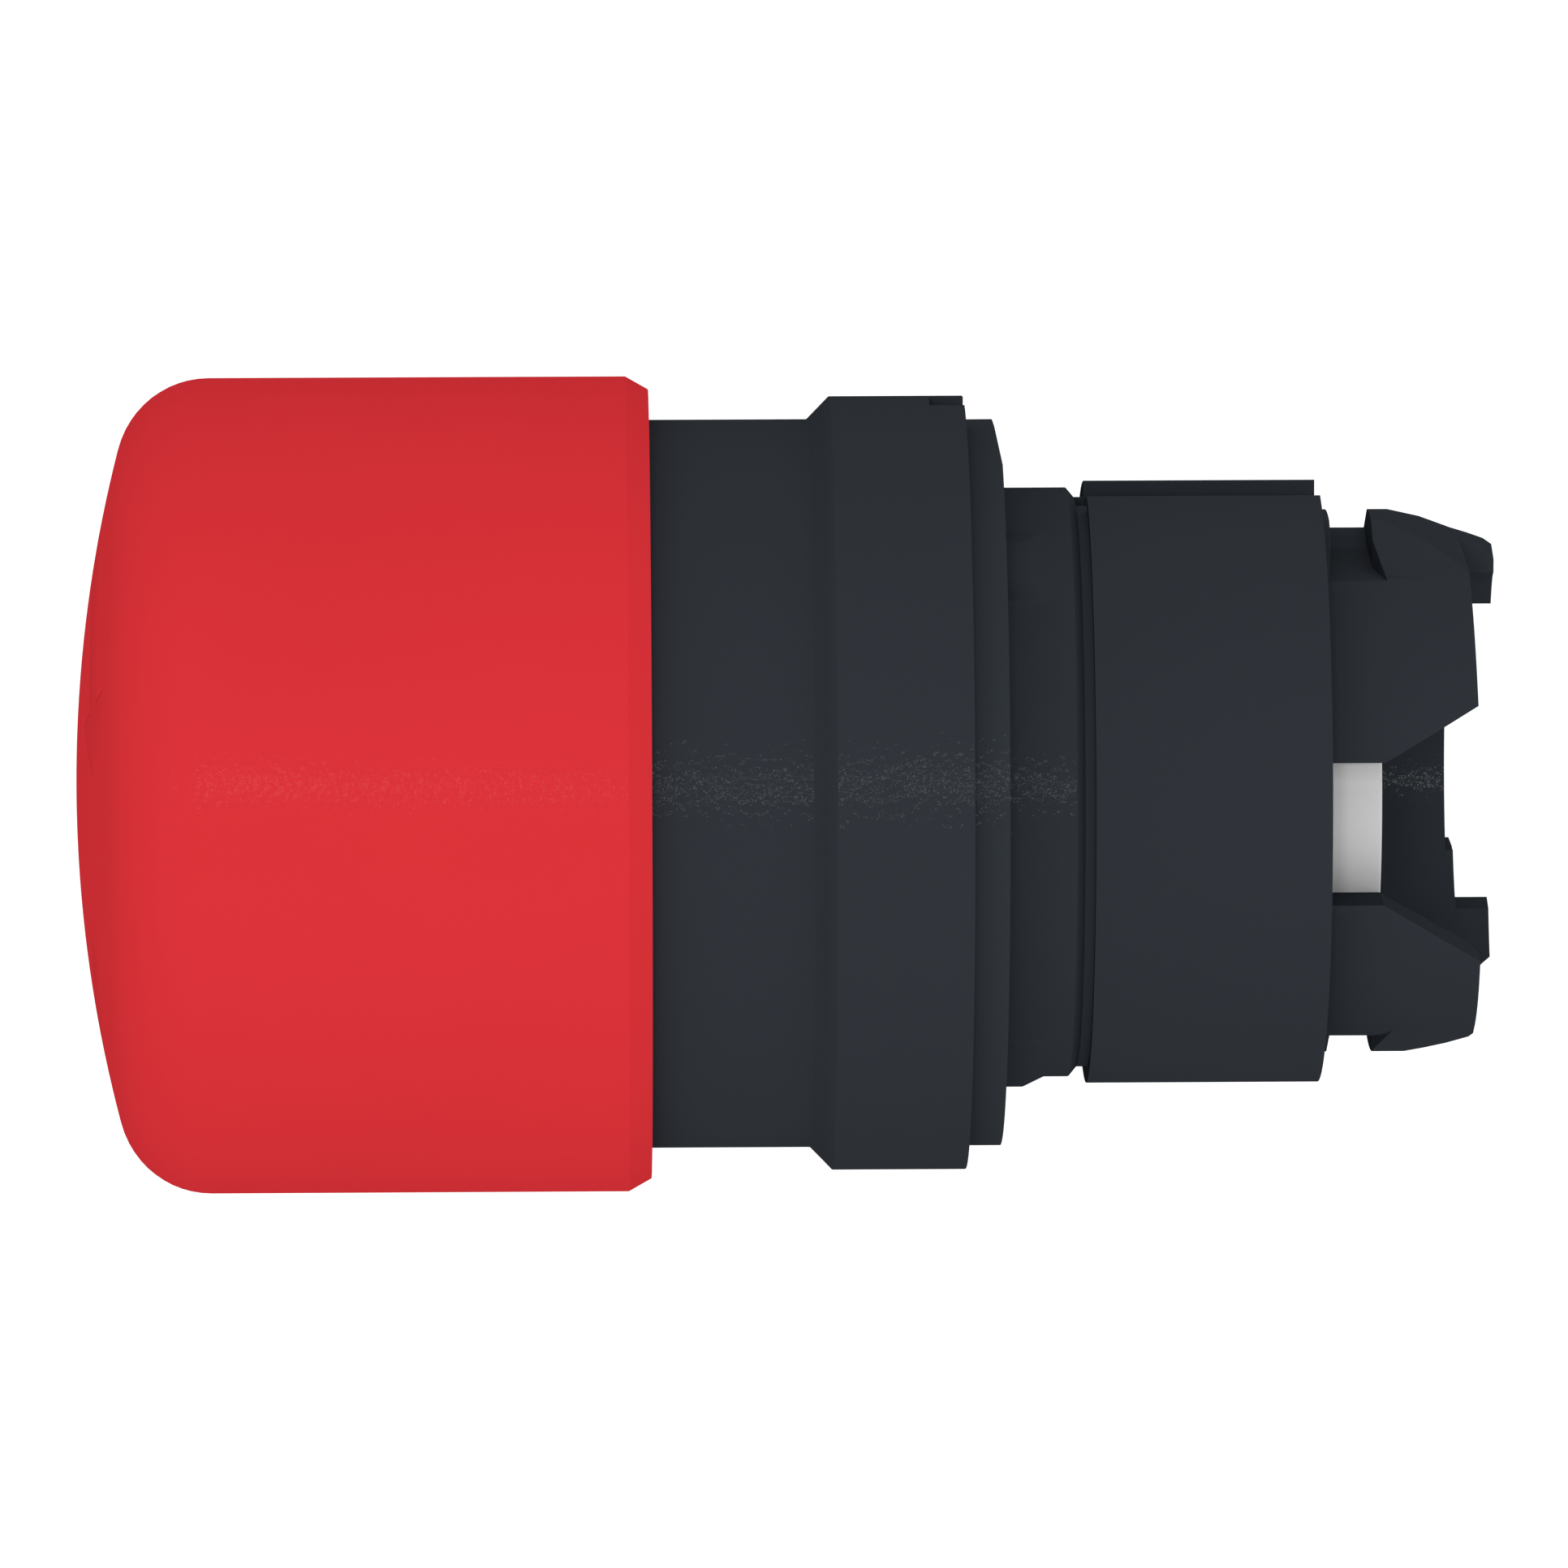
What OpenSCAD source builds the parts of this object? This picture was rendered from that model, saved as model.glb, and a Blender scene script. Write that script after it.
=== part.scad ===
// Emergency stop head for a 22 mm panel hole: red mushroom cap, bezel, neck
// and bayonet barrel, with the trigger latch and its springs inside.
// Row frame: the device axis lies along Y, the cap faces -Y and +Z is twelve
// o'clock. The origin is on the axis, where the gasket meets the panel.
// Modules are drawn along a local axis z, which is positive towards the cap.

/* [Mushroom cap] */
// Diameter of the cap
cap_d = 30; // [28:0.5:32]
// Radius of the cap's domed face
cap_dome_r = 49; // [40:1:80]
// Radius that rounds the cap's front edge
cap_edge_r = 3.41; // [2.5:0.1:4]
// Height of the cap's pole above the panel
cap_top = 33.9; // [32:0.1:36]
// Height of the cap's rim above the panel
cap_rim = 12.84; // [12:0.1:14]
// Wall thickness of the cap
cap_wall = 1.35; // [1.2:0.05:1.4]

/* [Housing] */
// Radius of the bezel that sits on the panel
bezel_r = 14.24; // [13.8:0.1:16]
// Radius of the skirt inside the cap
skirt_r = 13.4; // [13:0.1:13.4]
// Radius of the neck that fills the panel hole
neck_r = 10.85; // [10.6:0.05:11]
// Radius of the gasket
gasket_r = 13.37; // [12.5:0.1:14]
// Thickness of the gasket
gasket_t = 1.28; // [1:0.05:1.6]

/* [Barrel] */
// Radius of the barrel
barrel_r = 11.09; // [11:0.01:11.15]
// Width of the keyway along the barrel
keyway_w = 3.77; // [2:0.1:4]
// Radius of the rear tube behind the barrel
rear_tube_r = 9.4; // [9.2:0.1:9.5]
// Radius over the bayonet hooks
hook_r = 10; // [9.8:0.1:10.3]
// Radius of the bore that the plunger slides in
rear_bore_r = 6.95; // [6.9:0.05:7.2]

/* [Plunger] */
// Radius of the plunger
plunger_r = 6.7; // [6.4:0.05:6.7]
// Distance of the plunger's rear face behind the panel
plunger_end = 13.74; // [13:0.01:14.2]

/* [Hidden] */
$fn = 96;
eps = 0.01;

// Colours
red = "#d5343a";
black = "#2b2e33";
rubber = "#24272a";
grey = "#b4b4b4";
steel = "#b9bcc0";
natural = "#e6e2d6";

// Cap
cap_r = cap_d / 2;
dome_z = cap_top - cap_dome_r;
edge_cr = cap_r - cap_edge_r;
edge_cz = dome_z + sqrt(pow(cap_dome_r - cap_edge_r, 2) - edge_cr * edge_cr);
edge_a = atan2(edge_cz - dome_z, edge_cr);
rim_chamfer_r = 0.48;
rim_chamfer_z = 0.84;
roof_t = 3;
roof_in_r = cap_dome_r - roof_t;
cap_in_r = cap_r - cap_wall;
cap_in_fillet = 2.4;
cap_in_cr = cap_in_r - cap_in_fillet;
cap_in_cz = dome_z + sqrt(pow(roof_in_r - cap_in_fillet, 2) - cap_in_cr * cap_in_cr);
hub_r = 5.4;
hub_end = 24.6;
rib_n = 6;
rib_t = 1;
rib_end = 26.6;
inlay_t = 0.35;
arrow_r = 9.2;
arrow_w = 1.5;
arrow_sweep = 62;
arrow_head = 2.1;

// Stem and trigger
stem_r = 3;
stem_front = 30.2;
ring_z = 28.2;
ring_wire = 0.4;
ring_gap = 1.2;
ridge_r = 3.9;
ridge_front = -3.4;
ridge_rear = -4.9;
cam_front = -0.3;
tail_r = 1.8;
tail_front = -11.3;
tail_end = -13.75;
clip_z = -13.3;
clip_t = 0.4;
clip_r = 3.2;
clip_gap = 2;
clip_groove_r = 1.4;
running = 0.05;

// Housing
skirt_front = 20;
skirt_rear = 7.02;
shoulder_rear = 6.2;
skirt_wall = 1.8;
web_front = 3.8;
neck_end = -2.8;
neck_full_end = -2.5;
groove_r = 10.49;
spigot_r = 9;
spigot_end = -5;
guide_r = 5.8;
bush_r = 4.4;
guide_front = 16;
guide_rear = 0.4;
flange_t = 0.7;
bush_inset = 0.3;
lip_h = 1.4;
lip_t = 0.5;
lip_root = 0.8;
skirt_round = 0.4;
core_r = 7.4;
core_in_r = 6;
core_front = -0.5;
notch_w = 2.1;
notch_depth = 0.8;
notch_front = 2.55;
lobe_r = 11.25;
lobe_front = 0.5;
lobe_end = -0.77;
lobe_ramp_end = -1.6;
// Each lobe's radius, distance from the axis and angle
lobes = [[3.65, 7.6, 56.5], [3.65, 7.6, 123.5], [9.86, 1.39, 270]];

// Gasket relief: a slanted flat that starts this far above the axis
relief_from = 12.52;
relief_slant = 15;

// Barrel
groove_end = -3.17;
slot_w = 2.05;
barrel_end = -11.7;
keyway_floor_r = 10;
lip_end = -12.07;
hook_front = -13.6;
near_end = -17.18;
near_tilt = 1.1;
tube_end = -19;
far_end = -18.31;
far_slant = 2.5;
mouth_r = 7.64;
shelf_z = -7.2;
hook_flat_a = 28.1;
hook_sink = 0.03;
near_gap_low = -3.04;
near_gap_high = 2.24;
near_gap_floor = -11.7;
near_gap_straight = -13.7;
near_gap_end_low = -5.4;
near_gap_end_high = 4.35;
far_gap_half = 5.76;
far_gap_floor = -16.9;
rib_w = 1.6;
rib_r = 7.6;
rib_end_z = -11;
rib_slot_w = 1.9;
rib_slot_r = 7.85;
rib_slot_end = -15.6;
oring_wire = 0.5;
oring_z = -3.9;
step_x = -1.5;
// Underside of the far part against z: level, then rising to its end
far_low = -7.4;
far_low_bend = -17.87;
far_low_rise = 0.37;
far_low_end = -18.6;
// Front wall of the lower hook against x: square, then slanting back
lower_front = -13.72;
lower_bend = 1.3;
lower_spread = 1.4;
// Height of the upper hook against z, and how far that face leans to the near side
hook_lean = 3;
upper_profile = [[-12, 12], [-14.1, 9.91], [-15.56, 9.42], [-16.25, 9.05], [-16.78, 8.76], [-17.45, 8.46],
    [-18.1, 8.1], [-18.5, 7.72], [-20, 7.72], [-20, -1], [-12, -1]];
// Height of the lower hook against z
lower_profile = [[-12, 1], [-20, 1], [-20, -8.8], [-17.4, -8.8], [-17.2, -9.07], [-16.4, -9.44],
    [-15.63, -9.71], [-14.7, -9.98], [-12, -12]];
// Bayonet groove: its floor against x, and its two walls, which spread from
// this x to the near side
groove_floor = [[6.5, 8.07], [-1, 8.5], [-2.7, 9.06], [-2.7, 12], [6.5, 12]];
groove_bend = 2.4;
groove_reach = 6.5;
lip_spread = 0.32;
hook_spread = 0.75;
far_step_low = -3.7;
far_step_floor = -17.2;

// Plunger cup
cup_front = -7.8;
cup_in_r = 5.2;
cup_floor = -11.4;
pocket_top = -12.6;
pocket_r = 5;
washer_t = 0.4;
washer_r = 3.4;

// Latch
cover_t = 0.5;
latch_wire = 0.35;
latch_gap = 3.42;
latch_leg = 5.6;
latch_bend_y = 3.6;
latch_room = 0.15;
plate_hole_r = 4.2;
disc_r = 8.95;
pocket_depth = 0.8;

// Springs
return_mean_r = 8.3;
return_wire = 0.55;
return_turns = 7;
seat_t = 0.6;
seat_lap = 1.3;
spring_washer_t = 0.5;
seat_gap = 0.05;
turn_mean_r = 3.85;
turn_wire = 0.25;
turn_turns = 4;
coil_gap = 0.02;
collar_front = -7.4;
collar_rear = -8.1;
collar_r = 4.5;

function arc(cx, cy, r, a0, a1, n) = [for (i = [0:n]) let (a = a0 + (a1 - a0) * i / n)
    [cx + r * cos(a), cy + r * sin(a)]];

// Points of one ring of a wire that follows a helix about z
function coil_ring(mean_r, wire, z, a, sides) = [for (k = [0:sides - 1]) let (b = 360 * k / sides)
    [(mean_r + wire * cos(b)) * cos(a), (mean_r + wire * cos(b)) * sin(a), z + wire * sin(b)]];

// Rise of a coil along its length t, from 0 to 1: both end turns lie nearly flat
function coil_rise(t, turns, lead) = let (e = 1 / turns)
    t < e ? lead * t / e : t > 1 - e ? 1 - lead * (1 - t) / e : lead + (1 - 2 * lead) * (t - e) / (1 - 2 * e);

// A closed wire coil between two heights
module coil(mean_r, wire, z0, z1, turns, sides = 8, steps = 24) {
    n = turns * steps;
    span = z1 - z0 - 2 * wire;
    lead = 2.1 * wire / span;
    pts = [for (i = [0:n]) each coil_ring(mean_r, wire, z0 + wire + span * coil_rise(i / n, turns, lead),
        360 * turns * i / n, sides)];
    walls = [for (i = [0:n - 1], k = [0:sides - 1]) let (k2 = (k + 1) % sides)
        [i * sides + k, (i + 1) * sides + k, (i + 1) * sides + k2, i * sides + k2]];
    first = [for (k = [0:sides - 1]) k];
    last = [for (k = [sides - 1:-1:0]) n * sides + k];
    polyhedron(points = pts, faces = concat([first], walls, [last]), convexity = 10);
}

// A solid of revolution between two heights
module ring(r_out, r_in, z0, z1) {
    translate([0, 0, z0]) difference() {
        cylinder(r = r_out, h = z1 - z0);
        if (r_in > 0) translate([0, 0, -1]) cylinder(r = r_in, h = z1 - z0 + 2);
    }
}

// A wedge about z that spans the angles a0 to a1, less than 180 degrees apart
module wedge(r, a0, a1, z0, z1) {
    am = (a0 + a1) / 2;
    far = r / cos((a1 - a0) / 2) * 1.05;
    translate([0, 0, z0]) linear_extrude(height = z1 - z0)
        polygon([[0, 0], [far * cos(a0), far * sin(a0)], [far * 1.3 * cos(am), far * 1.3 * sin(am)],
            [far * cos(a1), far * sin(a1)]]);
}

// Turns the local axis onto the row's Y axis
module seated() { rotate([90, 0, 0]) children(); }

module cap_outline() {
    polygon(concat([[0, cap_rim], [cap_r - rim_chamfer_r, cap_rim], [cap_r, cap_rim + rim_chamfer_z]],
        arc(edge_cr, edge_cz, cap_edge_r, 0, edge_a, 12),
        arc(0, dome_z, cap_dome_r, edge_a, 90, 20)));
}

module cap_hollow() {
    in_a = atan2(cap_in_cz - dome_z, cap_in_cr);
    polygon(concat([[0, cap_rim - 1], [cap_in_r, cap_rim - 1]],
        arc(cap_in_cr, cap_in_cz, cap_in_fillet, 0, in_a, 6),
        arc(0, dome_z, roof_in_r, in_a, 90, 10)));
}

// One arrow's flat outline: a curved bar with a triangular head
module arrow_outline() {
    tip = arrow_sweep + 16;
    polygon(concat(arc(0, 0, arrow_r + arrow_w / 2, 0, arrow_sweep, 12),
        [[(arrow_r + arrow_head) * cos(arrow_sweep), (arrow_r + arrow_head) * sin(arrow_sweep)],
        [arrow_r * cos(tip), arrow_r * sin(tip)],
        [(arrow_r - arrow_head) * cos(arrow_sweep), (arrow_r - arrow_head) * sin(arrow_sweep)]],
        arc(0, 0, arrow_r - arrow_w / 2, arrow_sweep, 0, 12)));
}

module arrow_prisms() {
    for (k = [0:2]) rotate([0, 0, 120 * k + 30]) mirror([1, 0, 0]) translate([0, 0, cap_top - 5])
        linear_extrude(height = 8) arrow_outline();
}

module mushroom_cap() {
    color(red) seated() difference() {
        union() {
            difference() {
                rotate_extrude() cap_outline();
                rotate_extrude() cap_hollow();
            }
            intersection() {
                union() {
                    ring(hub_r, 0, hub_end, cap_top);
                    for (k = [0:rib_n - 1]) rotate([0, 0, 360 / rib_n * k])
                        translate([0, -rib_t / 2, rib_end]) cube([cap_in_r + 0.5, rib_t, 6]);
                }
                rotate_extrude() cap_outline();
            }
        }
        ring(stem_r, 0, hub_end - 1, stem_front);
        ring(stem_r + ring_wire, 0, ring_z - ring_wire, ring_z + ring_wire);
        difference() {
            arrow_prisms();
            translate([0, 0, dome_z]) sphere(r = cap_dome_r - inlay_t);
        }
    }
}

module turn_arrows() {
    color("#b92a30") seated() intersection() {
        arrow_prisms();
        difference() {
            translate([0, 0, dome_z]) sphere(r = cap_dome_r);
            translate([0, 0, dome_z]) sphere(r = cap_dome_r - inlay_t);
        }
    }
}

module cap_snap_ring() {
    color(steel) seated() difference() {
        translate([0, 0, ring_z]) rotate_extrude() translate([stem_r, 0]) circle(r = ring_wire, $fn = 24);
        translate([0, -ring_gap / 2, ring_z - 1]) cube([5, ring_gap, 2]);
    }
}

module stem() {
    color(natural) seated() difference() {
        union() {
            ring(stem_r, 0, tail_front, stem_front);
            ring(ridge_r, 0, ridge_rear, ridge_front);
            intersection() {
                ring(ridge_r, 0, ridge_front - eps, cam_front);
                translate([-stem_r, -5, ridge_front - 1]) cube([2 * stem_r, 10, 6]);
            }
            ring(tail_r, 0, tail_end, tail_front + 1);
        }
        translate([0, 0, ring_z]) rotate_extrude() translate([stem_r, 0])
            circle(r = ring_wire, $fn = 24);
        ring(tail_r + 1, clip_groove_r, clip_z - clip_t / 2, clip_z + clip_t / 2);
    }
}

module spring_seat() {
    color(steel) seated()
        ring(return_mean_r + seat_lap, stem_r + 0.2, hub_end - seat_gap - seat_t, hub_end - seat_gap);
}

module return_spring() {
    color(steel) seated()
        coil(return_mean_r, return_wire, web_front + spring_washer_t + coil_gap,
            hub_end - seat_gap - seat_t - coil_gap, return_turns);
}

// Centring lobes on the neck, each an offset cylinder that fades into it
module neck_lobes() {
    profile = [[0, lobe_front], [lobe_r, lobe_front], [lobe_r, lobe_end], [neck_r, lobe_ramp_end],
        [0, lobe_ramp_end]];
    for (l = lobes) intersection() {
        rotate_extrude() polygon(profile);
        rotate([0, 0, l[2]]) translate([l[1], 0, lobe_ramp_end - 1]) cylinder(r = l[0], h = 3);
    }
}

module bezel_housing() {
    skin = [[0, spigot_end], [spigot_r, spigot_end], [spigot_r, neck_end], [groove_r, neck_end],
        [neck_r, neck_full_end], [neck_r, gasket_t], [bezel_r, gasket_t], [bezel_r, shoulder_rear],
        [skirt_r, skirt_rear], [skirt_r, skirt_front - skirt_round],
        [skirt_r - skirt_round, skirt_front], [0, skirt_front]];
    color(black) seated() difference() {
        union() {
            difference() {
                rotate_extrude() polygon(skin);
                ring(skirt_r - skirt_wall, guide_r, web_front, skirt_front + 1);
                ring(skirt_r, 0, guide_front, skirt_front + 1);
                ring(core_r, core_in_r, spigot_end - 1, core_front);
            }
            intersection() {
                rotate_extrude() polygon(skin);
                ring(skirt_r, skirt_r - skirt_wall, guide_front - 1, skirt_front);
            }
            neck_lobes();
        }
        ring(bush_r, 0, spigot_end - 1, guide_front + 1);
        translate([-notch_w / 2, bezel_r - notch_depth, gasket_t - 1])
            cube([notch_w, 3, notch_front - gasket_t + 1]);
        ring(spigot_r + 1, spigot_r - 2 * oring_wire, oring_z - oring_wire, oring_z + oring_wire);
    }
}

module wiper_seal() {
    z0 = guide_front + flange_t;
    profile = [[stem_r + running, z0], [stem_r + running, z0 + lip_h], [stem_r + lip_t, z0 + lip_h],
        [stem_r + lip_root, z0 + flange_t + 0.1], [guide_r - lip_t, z0 + flange_t], [guide_r - lip_t, z0]];
    color(rubber) seated() rotate_extrude() polygon(profile);
}

module guide_bush() {
    color(natural) seated() union() {
        ring(bush_r, stem_r + running, guide_rear, guide_front);
        ring(guide_r - bush_inset, stem_r + running, guide_front, guide_front + flange_t);
    }
}

module panel_gasket() {
    color(rubber) seated() difference() {
        ring(gasket_r, lobe_r + coil_gap, 0, gasket_t);
        translate([0, relief_from, 0]) rotate([relief_slant, 0, 0]) translate([-10, 0, -5]) cube([20, 10, 5]);
    }
}

// Cross-section of the lip and hooks: an arc at the tip, then flats that run
// out tangent to the rear tube
module hook_section(r) {
    a = hook_flat_a;
    flat_y = rear_tube_r - hook_sink;
    reach = 12;
    intersection() {
        circle(r = r);
        intersection_for(s = [-1, 1]) rotate([0, 0, s * a])
            translate([-reach, -reach]) square([2 * reach, reach + flat_y]);
    }
}

module hook_solid(z0, z1, r0) {
    for (m = [0, 1]) mirror([0, m, 0]) intersection() {
        translate([0, 0, z0]) linear_extrude(height = z1 - z0) hook_section(r0);
        wedge(12, 90 - hook_flat_a, 90 + hook_flat_a, z0 - 1, z1 + 1);
    }
}

// Sweeps a flat outline along x, with the outline's x turned onto -z
module along_x() {
    reach = 15;
    rotate([0, 90, 0]) translate([0, 0, -reach]) linear_extrude(height = 2 * reach) children();
}

// Floor of the bayonet groove: flat on the near side, rising on the far side
module bayonet_groove() {
    intersection() {
        translate([0, 0, hook_front - 1]) linear_extrude(height = lip_end - hook_front + 2)
            polygon(groove_floor);
        rotate([90, 0, 0]) translate([0, 0, -12]) linear_extrude(height = 24)
            polygon([[-12, lip_end], [groove_bend, lip_end], [groove_reach, lip_end + lip_spread],
                [groove_reach, hook_front - hook_spread], [groove_bend, hook_front], [-12, hook_front]]);
    }
}

// What the slant takes off the front of the lower hook, clear of the tube
module lower_groove_wall() {
    difference() {
        rotate([90, 0, 0]) linear_extrude(height = 12)
            polygon([[-12, lower_front], [lower_bend, lower_front],
                [groove_reach, lower_front - lower_spread], [groove_reach, hook_front + 0.1],
                [-12, hook_front + 0.1]]);
        ring(rear_tube_r, 0, tube_end, barrel_end);
    }
}

module rear_barrel() {
    color(black) seated() difference() {
        union() {
            ring(groove_r, 0, groove_end, neck_end);
            difference() {
                ring(barrel_r, 0, barrel_end, groove_end);
                translate([-keyway_w / 2, keyway_floor_r, barrel_end - 1])
                    cube([keyway_w, 3, groove_end - barrel_end + 2]);
            }
            hook_solid(lip_end, barrel_end, hook_r);
            intersection() {
                union() {
                    ring(rear_tube_r, 0, tube_end, barrel_end);
                    hook_solid(tube_end, hook_front, hook_r);
                }
                union() {
                    rotate([0, 0, -hook_lean]) along_x() polygon([for (p = upper_profile) [-p[0], p[1]]]);
                    along_x() polygon([for (p = lower_profile) [-p[0], p[1]]]);
                    ring(12, 0, hook_front, barrel_end);
                }
            }
        }
        translate([-slot_w / 2, keyway_floor_r, groove_end]) cube([slot_w, 2, neck_end - groove_end + 1]);
        ring(spigot_r, 0, shelf_z, neck_end + 1);
        ring(rear_bore_r, 0, tube_end - 1, shelf_z + 1);
        ring(mouth_r, 0, tube_end - 1, near_end);
        for (m = [0, 1]) mirror([0, m, 0]) translate([-rib_slot_w / 2, 0, rib_slot_end])
            cube([rib_slot_w, rib_slot_r, shelf_z + 1 - rib_slot_end]);
        // Near gap: straight, then opening out
        rotate([0, 90, 0]) linear_extrude(height = 12) polygon([[-near_gap_floor, near_gap_low],
            [-near_gap_straight, near_gap_low], [-near_end + 0.2, near_gap_end_low],
            [-near_end + 0.2, near_gap_end_high], [-near_gap_straight, near_gap_high],
            [-near_gap_floor, near_gap_high]]);
        // The near part of the tube ends first, and leans; the far part has no
        // underside
        translate([step_x, 0, near_end]) rotate([near_tilt, 0, 0]) translate([0, -12, -5]) cube([14, 24, 5]);
        translate([step_x - 12, 0, 0]) rotate([0, 90, 0]) linear_extrude(height = 12)
            polygon([[-near_end, far_low], [-far_low_bend, far_low],
                [-far_low_end, far_low + far_low_rise], [-far_low_end, -12], [-near_end, -12]]);
        translate([step_x, 0, far_end]) rotate([0, -far_slant, 0]) translate([-14, -12, -5])
            cube([16, 24, 5]);
        bayonet_groove();
        lower_groove_wall();
        // Far gap, with a stepped floor
        translate([-12, -far_gap_half, tube_end - 1])
            cube([12, 2 * far_gap_half, far_step_floor - tube_end + 1]);
        translate([-12, far_step_low, tube_end - 1])
            cube([12, far_gap_half - far_step_low, far_gap_floor - tube_end + 1]);
    }
}

module spring_washer() {
    color(steel) seated()
        ring(return_mean_r + seat_lap, guide_r + 0.1, web_front, web_front + spring_washer_t);
}

module housing_ring() {
    color(rubber) seated() translate([0, 0, oring_z]) rotate_extrude()
        translate([spigot_r - oring_wire, 0]) circle(r = oring_wire - eps, $fn = 24);
}

module latch_cover() {
    color(natural) seated() ring(disc_r, plate_hole_r, spigot_end - cover_t, spigot_end);
}

module latch_plate() {
    z1 = spigot_end - cover_t;
    latch_half = latch_gap + latch_wire + latch_room;
    color(natural) seated() difference() {
        ring(disc_r, plate_hole_r, shelf_z, z1);
        translate([-latch_half, -latch_leg - 1, z1 - pocket_depth])
            cube([2 * latch_half, 14.2, pocket_depth + 1]);
    }
}

module hairpin_latch() {
    z = spigot_end - cover_t - pocket_depth / 2;
    color(steel) seated() translate([0, 0, z]) {
        for (s = [-1, 1]) translate([s * latch_gap, -latch_leg, 0]) rotate([-90, 0, 0])
            cylinder(r = latch_wire, h = latch_leg + latch_bend_y, $fn = 24);
        translate([0, latch_bend_y, 0]) rotate_extrude(angle = 180) translate([latch_gap, 0])
            circle(r = latch_wire, $fn = 24);
    }
}

module turn_spring() {
    color(steel) seated()
        coil(turn_mean_r, turn_wire, cup_floor + coil_gap, collar_rear - coil_gap, turn_turns);
}

module spring_collar() {
    color(steel) seated() ring(collar_r, stem_r, collar_rear, collar_front);
}

module plunger() {
    color(grey) seated() difference() {
        union() {
            ring(plunger_r, 0, -plunger_end, cup_front);
            for (m = [0, 1]) mirror([0, m, 0]) translate([-rib_w / 2, 0, rib_end_z])
                cube([rib_w, rib_r, cup_front - rib_end_z]);
        }
        ring(cup_in_r, 0, cup_floor, cup_front + 1);
        ring(tail_r + running, 0, -plunger_end - 1, cup_floor + 1);
        ring(pocket_r, 0, -plunger_end - 1, pocket_top);
    }
}

module plunger_washer() {
    z1 = pocket_top - coil_gap;
    color(steel) seated() ring(washer_r, tail_r + running, z1 - washer_t, z1);
}

module stem_clip() {
    color(steel) seated() difference() {
        ring(clip_r, clip_groove_r, clip_z - clip_t / 2, clip_z + clip_t / 2);
        translate([0, -clip_gap / 2, clip_z - 1]) cube([5, clip_gap, 2]);
    }
}

mushroom_cap();
turn_arrows();
cap_snap_ring();
stem();
spring_seat();
return_spring();
bezel_housing();
wiper_seal();
guide_bush();
panel_gasket();
rear_barrel();
latch_cover();
hairpin_latch();
latch_plate();
turn_spring();
spring_collar();
plunger();
plunger_washer();
stem_clip();
spring_washer();
housing_ring();
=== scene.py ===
import math
import bpy
from mathutils import Euler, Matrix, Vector


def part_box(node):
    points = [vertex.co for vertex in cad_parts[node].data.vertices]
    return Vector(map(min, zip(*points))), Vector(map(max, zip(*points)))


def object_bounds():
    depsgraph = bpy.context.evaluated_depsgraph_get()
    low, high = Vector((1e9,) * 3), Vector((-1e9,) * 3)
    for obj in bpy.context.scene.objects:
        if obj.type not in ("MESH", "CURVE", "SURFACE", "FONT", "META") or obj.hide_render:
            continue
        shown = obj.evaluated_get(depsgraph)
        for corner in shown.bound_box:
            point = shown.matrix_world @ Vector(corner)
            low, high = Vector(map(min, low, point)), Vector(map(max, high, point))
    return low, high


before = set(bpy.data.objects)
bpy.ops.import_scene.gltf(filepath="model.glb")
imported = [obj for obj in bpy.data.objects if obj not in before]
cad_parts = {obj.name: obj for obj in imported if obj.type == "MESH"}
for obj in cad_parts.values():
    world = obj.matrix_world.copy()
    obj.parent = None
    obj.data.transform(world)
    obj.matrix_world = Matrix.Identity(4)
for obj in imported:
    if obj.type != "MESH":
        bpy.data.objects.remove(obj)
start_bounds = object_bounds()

MM = 0.001


# ---------------------------------------------------------------- materials

def node_material(name):
    """A material with its Principled shader, node tree and object coordinates."""
    m = bpy.data.materials.new(name)
    m.use_nodes = True
    tree = m.node_tree
    shader = tree.nodes["Principled BSDF"]
    coords = tree.nodes.new("ShaderNodeTexCoord").outputs["Object"]
    return m, tree, shader, coords


def noise(tree, coords, size_mm, detail=2.0, rough=0.5):
    """Noise whose blobs are about size_mm across."""
    n = tree.nodes.new("ShaderNodeTexNoise")
    n.inputs["Scale"].default_value = 0.5 / (size_mm * MM)
    n.inputs["Detail"].default_value = detail
    n.inputs["Roughness"].default_value = rough
    tree.links.new(coords, n.inputs["Vector"])
    return n.outputs["Fac"]


def ramp(tree, value, stops):
    """A colour ramp through (position, colour) stops."""
    r = tree.nodes.new("ShaderNodeValToRGB")
    e = r.color_ramp.elements
    while len(e) < len(stops):
        e.new(0.5)
    for k, (at, colour) in enumerate(stops):
        e[k].position = at
        e[k].color = (*colour, 1)
    tree.links.new(value, r.inputs["Fac"])
    return r.outputs["Color"]


def span(tree, value, low, high):
    """value from 0..1 spread over low..high."""
    m = tree.nodes.new("ShaderNodeMapRange")
    m.inputs["To Min"].default_value = low
    m.inputs["To Max"].default_value = high
    tree.links.new(value, m.inputs["Value"])
    return m.outputs["Result"]


def within(tree, coords, radius_mm, inside, outside):
    """One value on surfaces nearer the axis than radius_mm, and another beyond."""
    across = tree.nodes.new("ShaderNodeVectorMath")
    across.operation = "MULTIPLY"
    across.inputs[1].default_value = (1, 0, 1)
    tree.links.new(coords, across.inputs[0])
    radius = tree.nodes.new("ShaderNodeVectorMath")
    radius.operation = "LENGTH"
    tree.links.new(across.outputs["Vector"], radius.inputs[0])
    near = tree.nodes.new("ShaderNodeMath")
    near.operation = "LESS_THAN"
    near.inputs[1].default_value = radius_mm * MM
    tree.links.new(radius.outputs["Value"], near.inputs[0])
    return span(tree, near.outputs["Value"], outside, inside)


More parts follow.
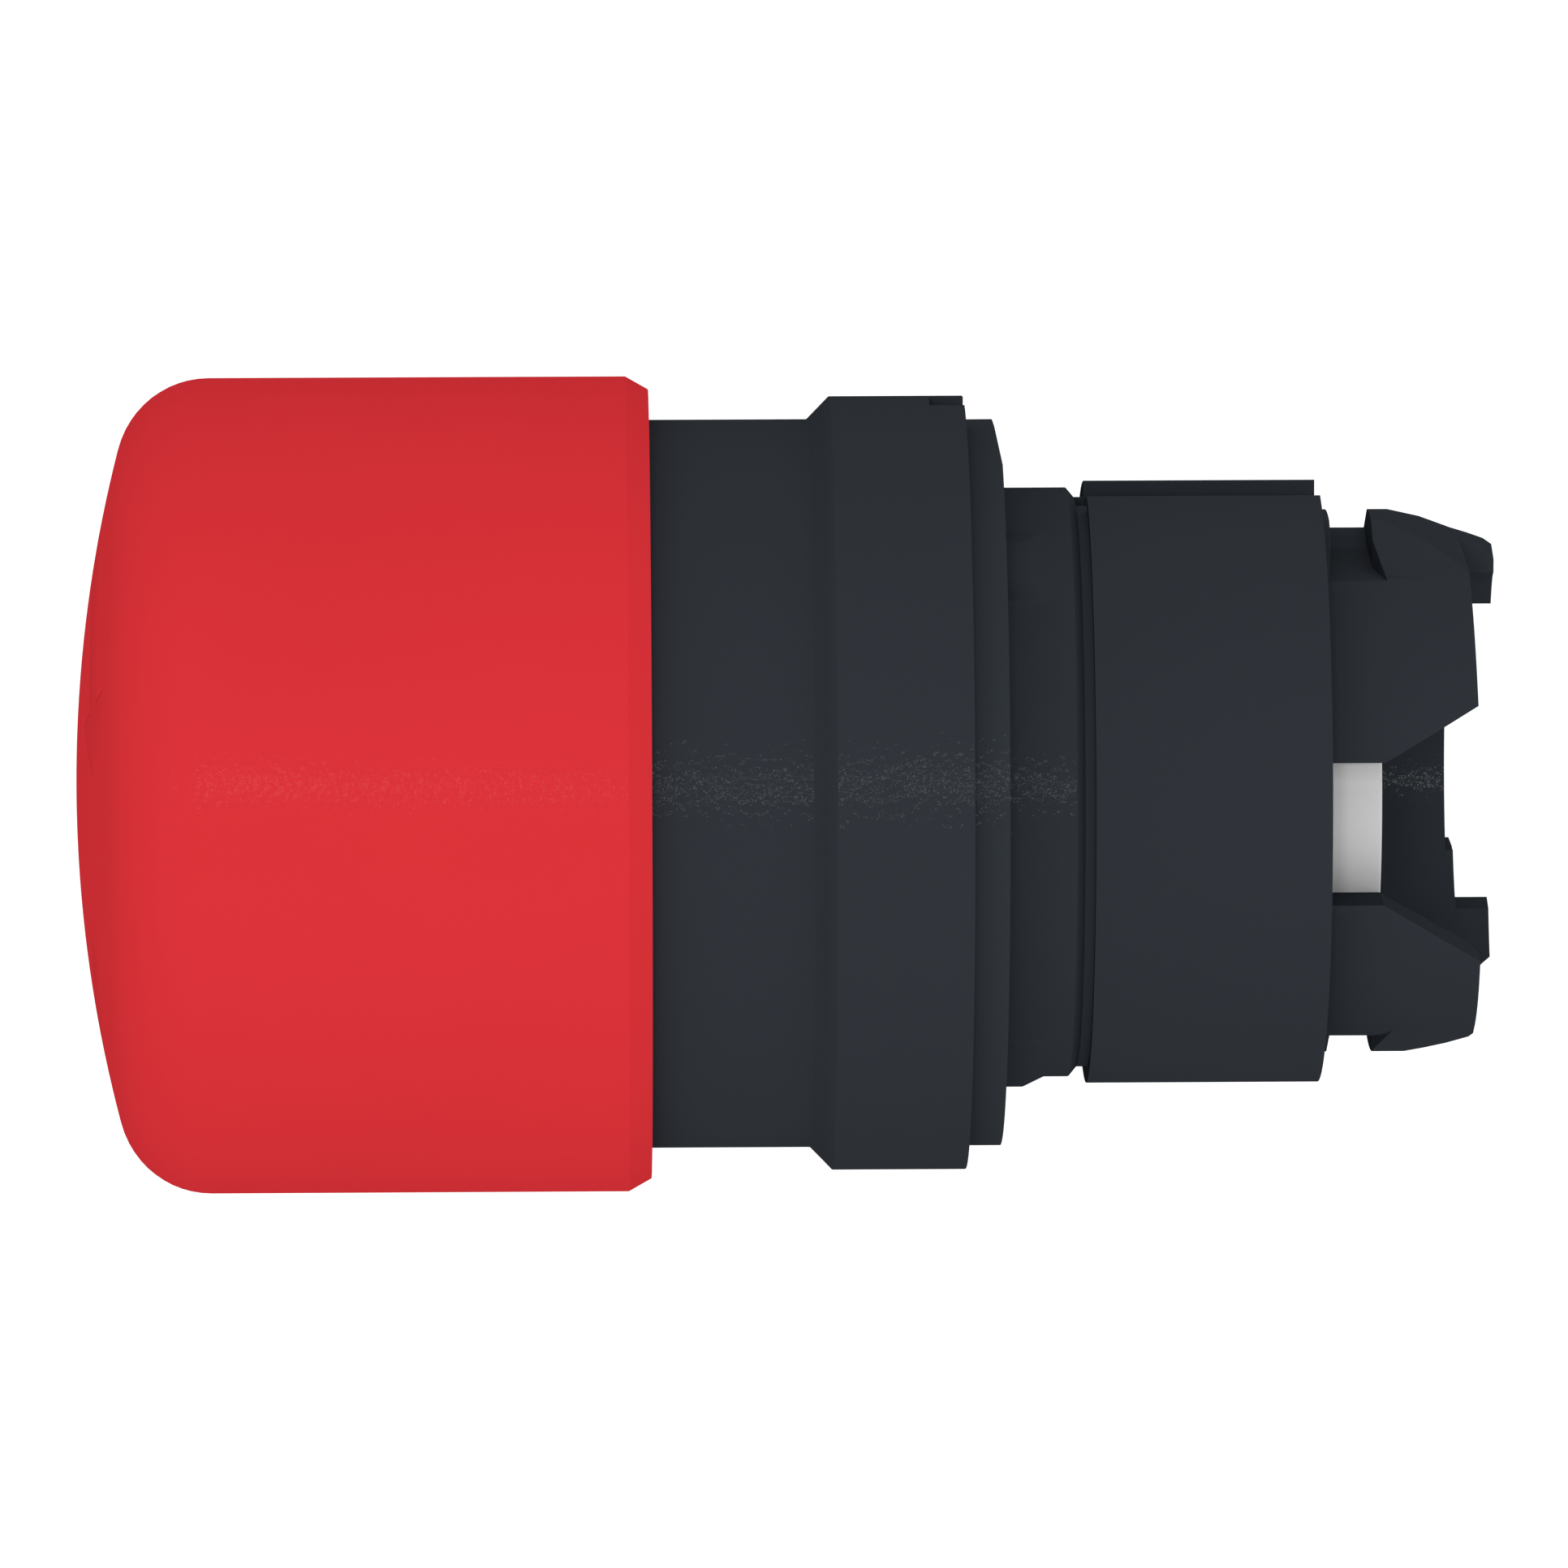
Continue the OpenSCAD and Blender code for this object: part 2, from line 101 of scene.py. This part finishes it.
def bump(tree, shader, height, depth_mm):
    """Grain raised by depth_mm on the shader's normal."""
    b = tree.nodes.new("ShaderNodeBump")
    b.inputs["Strength"].default_value = 1.0
    b.inputs["Distance"].default_value = depth_mm * MM
    tree.links.new(height, b.inputs["Height"])
    tree.links.new(b.outputs["Normal"], shader.inputs["Normal"])


def shade(colour, k):
    """The colour made k times as bright."""
    return tuple(min(1.0, c * k) for c in colour)


CLOUD_MM = 4.0
MOTTLE = 0.01        # how far the body colour drifts either way
BODY_ROUGH = 0.6
BODY_GRAIN = 0.1     # share of the grain's depth that the body colour shows


def moulded(name, colour, gloss, gloss_rough, grain_mm, grain_depth_mm, bore_mm=None):
    """Matt moulded plastic: a cloudy body colour under a faint, finely pebbled
    sheen, which is only inside the bore where bore_mm is given."""
    m, tree, shader, coords = node_material(name)
    cloud = noise(tree, coords, CLOUD_MM, 3.0)
    tint = ramp(tree, cloud, [(0.3, shade(colour, 1 - MOTTLE)), (0.7, shade(colour, 1 + MOTTLE))])
    tree.links.new(tint, shader.inputs["Base Color"])
    shader.inputs["Specular IOR Level"].default_value = 0.0
    shader.inputs["Roughness"].default_value = BODY_ROUGH
    grain = noise(tree, coords, grain_mm, 2.0)
    bump(tree, shader, grain, grain_depth_mm * BODY_GRAIN)
    sheen = tree.nodes.new("ShaderNodeBsdfGlossy")
    sheen.inputs["Roughness"].default_value = gloss_rough
    bump(tree, sheen, grain, grain_depth_mm)
    mix = tree.nodes.new("ShaderNodeMixShader")
    if bore_mm is None:
        mix.inputs["Fac"].default_value = gloss
    else:
        tree.links.new(within(tree, coords, bore_mm, gloss, 0.0), mix.inputs["Fac"])
    tree.links.new(shader.outputs["BSDF"], mix.inputs[1])
    tree.links.new(sheen.outputs["BSDF"], mix.inputs[2])
    tree.links.new(mix.outputs["Shader"], tree.nodes["Material Output"].inputs["Surface"])
    return m


MARK_MM = 0.12
MARK_DEPTH_MM = 0.004
MARK_SHADE = 0.85    # tone of the darkest marks
MARK_ROUGH = 0.15    # how much rougher the roughest marks are
STEEL_BLUE = 1.02


def steel(name, tone, rough):
    """Drawn or stamped steel with fine marks along it."""
    m, tree, shader, coords = node_material(name)
    shader.inputs["Metallic"].default_value = 1.0
    marks = noise(tree, coords, MARK_MM, 4.0, 0.65)
    metal = (tone, tone, tone * STEEL_BLUE)
    tint = ramp(tree, marks, [(0.3, shade(metal, MARK_SHADE)), (0.7, metal)])
    tree.links.new(tint, shader.inputs["Base Color"])
    tree.links.new(span(tree, marks, rough, rough + MARK_ROUGH), shader.inputs["Roughness"])
    bump(tree, shader, marks, MARK_DEPTH_MM)
    return m


CAP_RED = (0.4330, 0.0200, 0.0250)
ARROW_RED = shade(CAP_RED, 0.93)
BLACK = (0.0182, 0.0212, 0.0258)
RUBBER_BLACK = (0.0187, 0.0222, 0.0263)
GREY = (0.48, 0.48, 0.48)
NATURAL = (0.74, 0.70, 0.60)
BORE_MM = 8.8        # the barrel's outside lies beyond this, and its bore within

# Name, colour, gloss, roughness of the gloss, size and depth of the grain in mm

cap_plastic = moulded("cap_plastic", CAP_RED, 0.0004, 0.08, 0.14, 0.020)
arrow_plastic = moulded("arrow_plastic", ARROW_RED, 0.0003, 0.08, 0.14, 0.020)
black_plastic = moulded("black_plastic", BLACK, 0.0007, 0.08, 0.18, 0.045)
barrel_plastic = moulded("barrel_plastic", BLACK, 0.0011, 0.08, 0.16, 0.036, BORE_MM)
grey_plastic = moulded("grey_plastic", GREY, 0.002, 0.2, 0.4, 0.003)
natural_plastic = moulded("natural_plastic", NATURAL, 0.03, 0.15, 0.5, 0.003)
gasket_rubber = moulded("gasket_rubber", RUBBER_BLACK, 0.0009, 0.1, 0.16, 0.045)
spring_steel = steel("spring_steel", 0.62, 0.25)
plate_steel = steel("plate_steel", 0.55, 0.35)

MATERIALS = {
    "mushroom_cap": cap_plastic,
    "turn_arrows": arrow_plastic,
    "bezel_housing": black_plastic,
    "rear_barrel": barrel_plastic,
    "plunger": grey_plastic,
    "panel_gasket": gasket_rubber,
    "wiper_seal": gasket_rubber,
    "housing_ring": gasket_rubber,
    "stem": natural_plastic,
    "guide_bush": natural_plastic,
    "latch_cover": natural_plastic,
    "latch_plate": natural_plastic,
    "return_spring": spring_steel,
    "turn_spring": spring_steel,
    "hairpin_latch": spring_steel,
    "cap_snap_ring": spring_steel,
    "spring_seat": plate_steel,
    "spring_washer": plate_steel,
    "spring_collar": plate_steel,
    "plunger_washer": plate_steel,
    "stem_clip": plate_steel,
}

# Edges sharper than this are rounded, once points this close are joined
SHARP_DEGREES = 28
WELD_MM = 0.002

# Edge rounding of each visible moulding, in millimetres
EDGE_ROUND = {
    "mushroom_cap": 0.12,
    "turn_arrows": 0.05,
    "bezel_housing": 0.08,
    "rear_barrel": 0.08,
    "plunger": 0.1,
    "panel_gasket": 0.15,
}


def soften(obj, width_mm):
    """Small rounded edges, and normals that keep the flat faces flat."""
    weld = obj.modifiers.new("weld", "WELD")
    weld.merge_threshold = WELD_MM * MM
    bevel = obj.modifiers.new("bevel", "BEVEL")
    bevel.width = width_mm * MM
    bevel.segments = 2
    bevel.limit_method = "ANGLE"
    bevel.angle_limit = math.radians(SHARP_DEGREES)
    bevel.use_clamp_overlap = True
    bevel.harden_normals = False
    normals = obj.modifiers.new("normals", "WEIGHTED_NORMAL")
    normals.keep_sharp = True


def dress(name, obj):
    obj.data.materials.clear()
    obj.data.materials.append(MATERIALS[name])
    if name in EDGE_ROUND:
        soften(obj, EDGE_ROUND[name])


for node_name, node_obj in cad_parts.items():
    dress(node_name, node_obj)


# ---------------------------------------------------------------- stage

FLOOR_DROP = 0.12
FLOOR_SIZE = 12.0
FLOOR_CLOUD_MM = 60.0
FLOOR_PALE = (0.94, 0.94, 0.94)
FLOOR_PALER = (0.96, 0.96, 0.96)
WORLD_STRENGTH = 1.2
LIGHT_DISTANCE = 0.55
LIGHT_ELEVATION = 9.5

bpy.ops.mesh.primitive_plane_add(size=FLOOR_SIZE, location=(0, 0, start_bounds[0][2] - FLOOR_DROP))
floor = bpy.context.object
floor.name = "floor"
floor_paint, floor_tree, floor_shader, floor_coords = node_material("floor_paint")
floor_cloud = noise(floor_tree, floor_coords, FLOOR_CLOUD_MM)
floor_tint = ramp(floor_tree, floor_cloud, [(0.3, FLOOR_PALE), (0.7, FLOOR_PALER)])
floor_tree.links.new(floor_tint, floor_shader.inputs["Base Color"])
floor_shader.inputs["Roughness"].default_value = 0.9
floor_shader.inputs["Specular IOR Level"].default_value = 0.0
floor.data.materials.append(floor_paint)

world = bpy.data.worlds.new("studio")
bpy.context.scene.world = world
world.use_nodes = True
world.node_tree.nodes["Background"].inputs["Color"].default_value = (1, 1, 1, 1)
world.node_tree.nodes["Background"].inputs["Strength"].default_value = WORLD_STRENGTH

front_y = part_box("mushroom_cap")[0][1]
rear_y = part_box("rear_barrel")[1][1]
middle = Vector((0, (front_y + rear_y) / 2, 0))


def towards(azimuth, elevation):
    """A unit vector out from the object: azimuth 0 is along -Y, and 90 along +X."""
    a, e = math.radians(azimuth), math.radians(elevation)
    return Vector((math.sin(a) * math.cos(e), -math.cos(a) * math.cos(e), math.sin(e)))


def area_light(name, azimuth, size, watts):
    """A square soft light beside the object, which faces its middle."""
    at = middle + LIGHT_DISTANCE * towards(azimuth, LIGHT_ELEVATION)
    data = bpy.data.lights.new(name, "AREA")
    data.size = size
    data.energy = watts
    o = bpy.data.objects.new(name, data)
    o.location = at
    o.rotation_euler = (middle - at).to_track_quat("-Z", "Y").to_euler()
    bpy.context.collection.objects.link(o)


area_light("front_light", 84, 0.05, 0.51)
area_light("rear_light", 96, 0.05, 0.51)
area_light("face_light", 55, 0.02, 0.12)


# ---------------------------------------------------------------- camera

AZIMUTH = 89.05
ELEVATION = 10.0
ROLL = -0.11
DISTANCE = 0.4842
LENS = 301.9
TARGET = Vector((0, -7.895, -0.033)) * MM

cam_data = bpy.data.cameras.new("camera")
cam_data.lens = LENS
cam_data.sensor_width = 36
cam_data.clip_start = 0.01
cam = bpy.data.objects.new("camera", cam_data)
bpy.context.collection.objects.link(cam)
back = towards(AZIMUTH, ELEVATION)
cam.location = TARGET + back * DISTANCE
aim = (-back).to_track_quat("-Z", "Y")
roll = Euler((0, 0, math.radians(ROLL))).to_quaternion()
cam.rotation_euler = (aim @ roll).to_euler()
bpy.context.scene.camera = cam
bpy.context.scene.view_settings.view_transform = "Standard"
